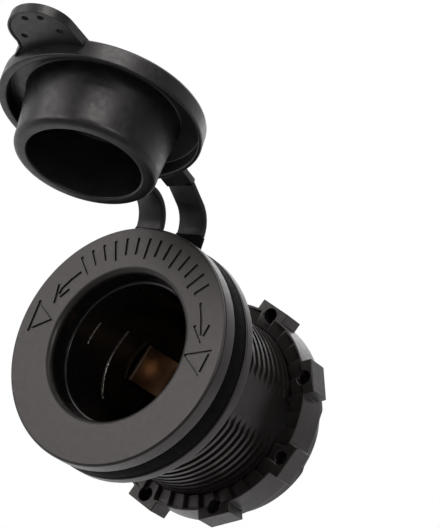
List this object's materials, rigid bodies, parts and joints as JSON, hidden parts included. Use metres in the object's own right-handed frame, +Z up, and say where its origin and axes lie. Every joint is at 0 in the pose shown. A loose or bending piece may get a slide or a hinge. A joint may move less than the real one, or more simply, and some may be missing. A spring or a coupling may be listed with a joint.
{
  "type": "car 12 V power socket",
  "caption": "Panel-mounted 12 V power socket with a flanged screw barrel, lugged ring nut, tethered rubber plug cap and two blade terminals.",
  "frame": {"origin": "on the bore's axis, in the plane where the socket seats on its panel", "axes": "-Y out of the mouth, +Y along the barrel through the panel, +Z up towards the cap's straps, +X to the right seen from the front"},
  "size_m": [0.037, 0.092, 0.0534],
  "materials": {
    "moulding": "satin black moulded polyamide",
    "rubber": "smooth moulded rubber, dark charcoal",
    "brass": "bright stamped brass",
    "plated": "nickel-plated strip",
    "fibre": "plain insulating fibre"
  },
  "bodies": {
    "socket": {"socket_body": "moulding", "strap_ring": "rubber", "strap_left": "rubber", "strap_right": "rubber", "ground_contact": "brass", "insulating_washer": "fibre", "centre_contact": "brass", "centre_rivet": "brass", "ground_rivets": "brass", "positive_terminal": "brass", "negative_terminal": "plated"},
    "cap": {"cap": "rubber"},
    "nut": {"ring_nut": "moulding"}
  },
  "joints": [
    {"name": "cap_hinge", "type": "hinge", "parent": "socket", "child": "cap", "pos_m": [0, -0.0069, 0.02155], "axis": [0.9937, 0.0794, 0.0794], "range_deg": [-25, 101.8], "stiffness_Nm_per_rad": 0.02, "deforming": ["strap_left", "strap_right"]},
    {"name": "nut_travel", "type": "slide", "parent": "socket", "child": "nut", "axis": [0, 1, 0], "range_m": [-0.0184, 0.0065]}
  ]
}
